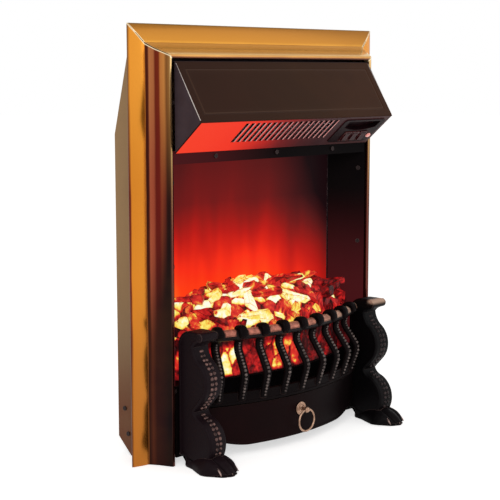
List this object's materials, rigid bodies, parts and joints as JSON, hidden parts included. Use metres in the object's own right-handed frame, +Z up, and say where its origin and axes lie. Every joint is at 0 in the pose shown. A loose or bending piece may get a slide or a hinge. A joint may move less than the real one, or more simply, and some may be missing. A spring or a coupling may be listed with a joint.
{
  "type": "electric fireplace insert",
  "caption": "Inset electric fire with a mitred brass trim, canopy fan heater, lit flame screen, moulded fuel bed and a bowed cast fret on paw feet that draws forward.",
  "frame": {"origin": "on the centre line, where the wall plane meets the hearth", "axes": "+X to the viewer's right, +Y into the wall, +Z up; the front faces -Y"},
  "size_m": [0.5, 0.203, 0.605],
  "materials": {
    "trim_brass": "polished and lacquered",
    "casing_paint": "satin grey-green",
    "firebox_paint": "satin black",
    "hood_paint": "satin brown-black",
    "grille_paint": "satin",
    "fret_iron": "satin black with rubbed high spots",
    "cover_iron": "satin black",
    "ring_brass": "aged",
    "screen_plastic": "translucent, printed red",
    "fuel_moulding": "translucent moulding",
    "panel_plastic": "fine texture",
    "switch_plastic": "gloss",
    "lens_plastic": "clear red",
    "bright_steel": "zinc plated",
    "foil_aluminium": "bright",
    "motor_steel": "plated",
    "lamp_glass": "red lacquered glass",
    "holder_plastic": "moulded",
    "gland_plastic": "moulded"
  },
  "bodies": {
    "carcass": {"base_pan": "casing_paint", "blower_housing": "bright_steel", "cable_gland": "gland_plastic", "casing_back": "casing_paint", "casing_left": "casing_paint", "casing_right": "casing_paint", "casing_screws": "bright_steel", "casing_top": "casing_paint", "ceiling_plate": "firebox_paint", "cheek_left": "firebox_paint", "cheek_right": "firebox_paint", "cheek_screws": "bright_steel", "control_panel": "panel_plastic", "corner_brackets": "bright_steel", "fan_bearing": "holder_plastic", "fan_motor": "motor_steel", "firebox_deck": "firebox_paint", "flame_mask": "foil_aluminium", "flame_screen": "screen_plastic", "heater_element": "bright_steel", "heater_frame": "holder_plastic", "hood_canopy": "hood_paint", "indicator_lamp": "lens_plastic", "lamp_holders": "holder_plastic", "lamps": "lamp_glass", "lintel": "firebox_paint", "lintel_screws": "bright_steel", "outlet_grille": "grille_paint", "plinth_front": "firebox_paint", "rear_reflector": "foil_aluminium", "screen_post_left": "firebox_paint", "screen_post_right": "firebox_paint", "screen_sill": "firebox_paint", "sleeve_left": "firebox_paint", "sleeve_right": "firebox_paint", "spindle_bearing": "holder_plastic", "spindle_brackets": "bright_steel", "spindle_motor": "motor_steel", "switch_bodies": "switch_plastic", "terminal_block": "holder_plastic", "thermal_cutout": "holder_plastic", "trim_left": "trim_brass", "trim_right": "trim_brass", "trim_screws": "bright_steel", "trim_top": "trim_brass"},
    "fret": {"fret_casting": "fret_iron", "leg_left": "fret_iron", "leg_right": "fret_iron", "fret_bolts": "bright_steel"},
    "ashpan": {"ashpan_cover": "cover_iron", "ring_rosette": "ring_brass"},
    "ring": {"ring_pull": "ring_brass"},
    "flame_switch": {"rocker_flame": "switch_plastic"},
    "low_heat_switch": {"rocker_low_heat": "switch_plastic"},
    "high_heat_switch": {"rocker_high_heat": "switch_plastic"},
    "fan": {"fan_wheel": "foil_aluminium"},
    "spindle": {"flame_spindle": "foil_aluminium"},
    "fuel": {"fuel_bed": "fuel_moulding"}
  },
  "joints": [
    {"name": "fret_pull", "type": "slide", "parent": "carcass", "child": "fret", "axis": [0, -1, 0], "range_m": [0, 0.08]},
    {"name": "cover_pull", "type": "slide", "parent": "fret", "child": "ashpan", "axis": [0, -1, 0], "range_m": [0, 0.06]},
    {"name": "ring_swing", "type": "hinge", "parent": "ashpan", "child": "ring", "pos_m": [0, -0.098, 0.053], "axis": [-1, 0, 0], "range_deg": [-14, 100]},
    {"name": "flame_switch_rock", "type": "hinge", "parent": "carcass", "child": "flame_switch", "pos_m": [0.127, -0.05623, 0.44523], "axis": [1, 0, 0], "range_deg": [0, 16]},
    {"name": "low_heat_switch_rock", "type": "hinge", "parent": "carcass", "child": "low_heat_switch", "pos_m": [0.145, -0.05623, 0.44523], "axis": [1, 0, 0], "range_deg": [0, 16]},
    {"name": "high_heat_switch_rock", "type": "hinge", "parent": "carcass", "child": "high_heat_switch", "pos_m": [0.163, -0.05623, 0.44523], "axis": [1, 0, 0], "range_deg": [0, 16]},
    {"name": "fan_spin", "type": "hinge", "parent": "carcass", "child": "fan", "pos_m": [-0.0149, -0.04229, 0.49029], "axis": [1, 0, 0], "continuous": true},
    {"name": "spindle_spin", "type": "hinge", "parent": "carcass", "child": "spindle", "pos_m": [0, 0.044, 0.14], "axis": [1, 0, 0], "continuous": true},
    {"name": "fuel_lift", "type": "slide", "parent": "carcass", "child": "fuel", "axis": [0, 0, 1], "range_m": [0, 0.03]}
  ]
}
